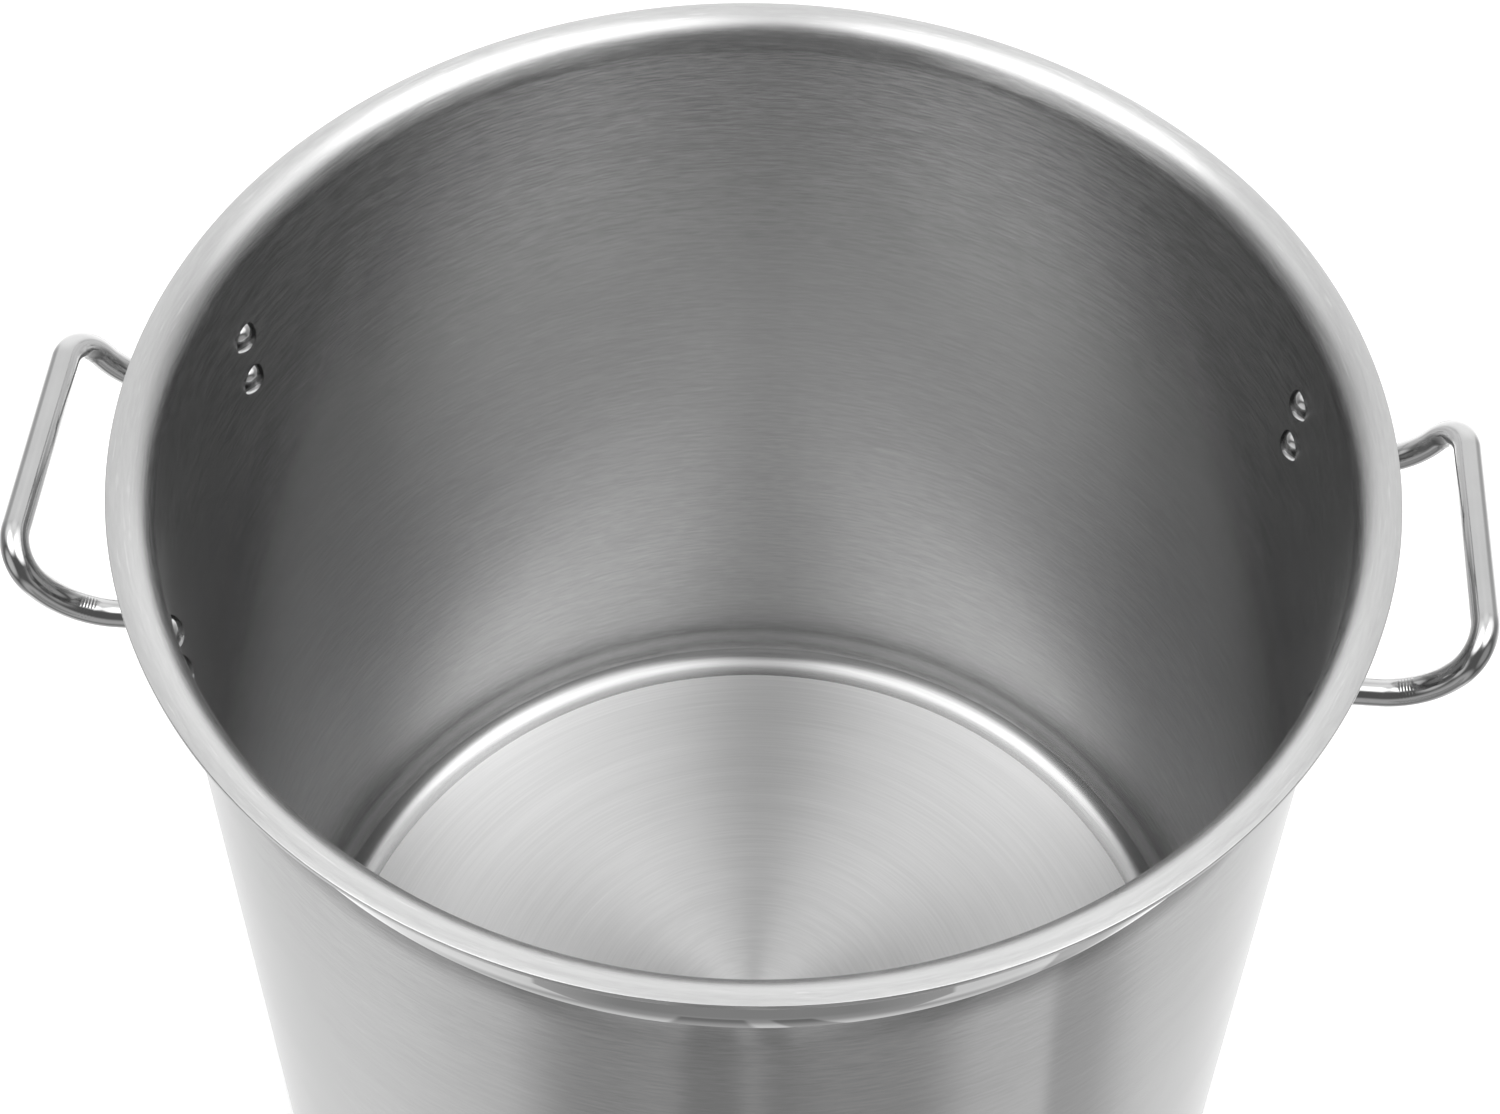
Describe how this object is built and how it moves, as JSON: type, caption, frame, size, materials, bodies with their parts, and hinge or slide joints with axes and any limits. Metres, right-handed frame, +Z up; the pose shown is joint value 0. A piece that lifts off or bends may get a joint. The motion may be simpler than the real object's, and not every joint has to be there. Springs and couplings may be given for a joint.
{
  "type": "brew kettle",
  "caption": "Large open brewing kettle of stainless steel with a flared rim, a layered heating base and two riveted tube handles.",
  "frame": {"origin": "centre of the foot, on the surface that the kettle stands on", "axes": "+Z up along the axis of the wall; the handles are on +X and -X; -Y is the front"},
  "size_m": [0.562, 0.482, 0.455],
  "materials": {
    "brushed_shell": "brushed inside and outside, with a polished band under the rim",
    "heat_core": "mill finish, hidden inside the base",
    "foot_capsule": "satin",
    "handle_tube": "polished stainless steel",
    "handle_plate": "fine satin stainless steel",
    "rivet": "polished stainless steel"
  },
  "bodies": {
    "root": {"kettle_body": "brushed_shell", "base_core": "heat_core", "base_cap": "foot_capsule", "handle_right": "handle_tube", "handle_left": "handle_tube", "plate_right_back": "handle_plate", "rivet_right_back_upper": "rivet", "rivet_right_back_lower": "rivet", "plate_right_front": "handle_plate", "rivet_right_front_upper": "rivet", "rivet_right_front_lower": "rivet", "plate_left_back": "handle_plate", "rivet_left_back_upper": "rivet", "rivet_left_back_lower": "rivet", "plate_left_front": "handle_plate", "rivet_left_front_upper": "rivet", "rivet_left_front_lower": "rivet"}
  },
  "joints": []
}
